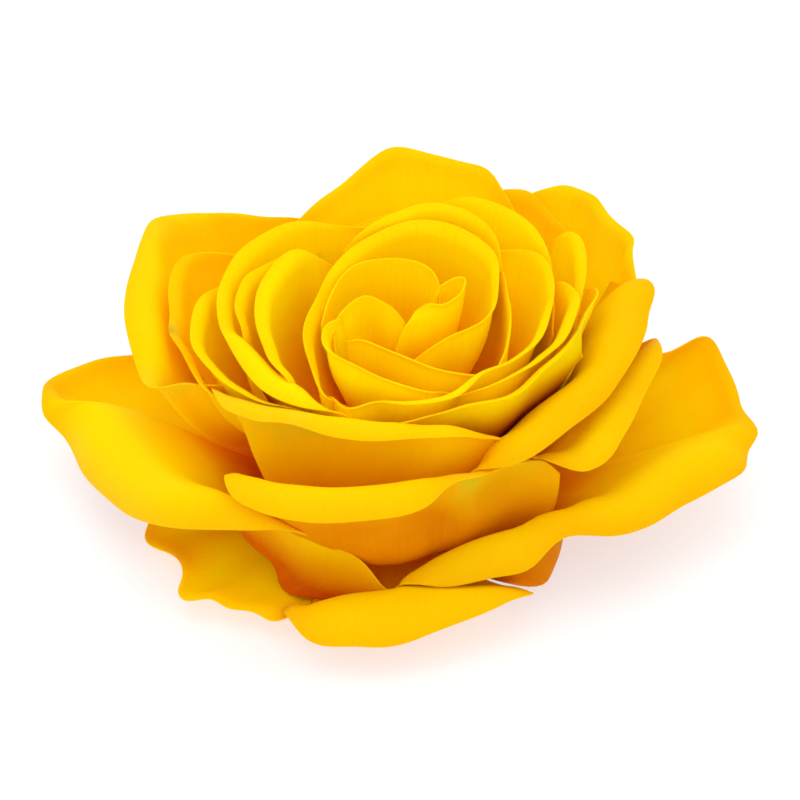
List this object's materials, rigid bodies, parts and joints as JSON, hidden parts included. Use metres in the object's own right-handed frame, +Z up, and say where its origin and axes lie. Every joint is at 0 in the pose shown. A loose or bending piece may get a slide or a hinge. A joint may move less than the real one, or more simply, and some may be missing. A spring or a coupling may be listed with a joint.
{
  "type": "rose head",
  "caption": "Open garden rose head of curled, overlapping petals round a spiral bud, on a green receptacle with sepals.",
  "frame": {"origin": "centre of the cut face under the receptacle", "axes": "+Z up out of the bloom, -Y towards the front of the bloom, +X to its right as seen from the front"},
  "size_m": [0.1195, 0.0994, 0.0519],
  "materials": {
    "petal": "satin",
    "sepal": "satin",
    "receptacle": "satin"
  },
  "bodies": {
    "root": {"bud_leaf": "petal", "bud_petal_back": "petal", "bud_petal_front": "petal", "bud_petal_front_left": "petal", "bud_petal_wide": "petal", "bud_tube": "petal", "cup_petal_back_low": "petal", "cup_petal_back_right": "petal", "cup_petal_front_right": "petal", "cup_petal_front_right_b": "petal", "cup_petal_left_a": "petal", "cup_petal_left_b": "petal", "cup_petal_left_c": "petal", "cup_petal_left_d": "petal", "cup_petal_right": "petal", "inner_petal_back": "petal", "inner_petal_back_low": "petal", "inner_petal_front": "petal", "inner_petal_right": "petal", "outer_petal_back": "petal", "outer_petal_back_left": "petal", "outer_petal_back_right": "petal", "outer_petal_front": "petal", "outer_petal_right": "petal", "receptacle": "receptacle", "rim_petal_back": "petal", "rim_petal_back_right": "petal", "rim_petal_front": "petal", "rim_petal_left": "petal", "rim_petal_left_wide": "petal", "rim_petal_right": "petal", "rim_petal_right_wavy": "petal", "sepal_1": "sepal", "sepal_2": "sepal", "sepal_3": "sepal", "sepal_4": "sepal", "sepal_5": "sepal", "skirt_petal_back": "petal", "skirt_petal_back_left": "petal", "skirt_petal_back_right": "petal", "skirt_petal_front": "petal", "skirt_petal_front_left": "petal", "wing_petal_left": "petal", "wing_petal_right": "petal"}
  },
  "joints": []
}
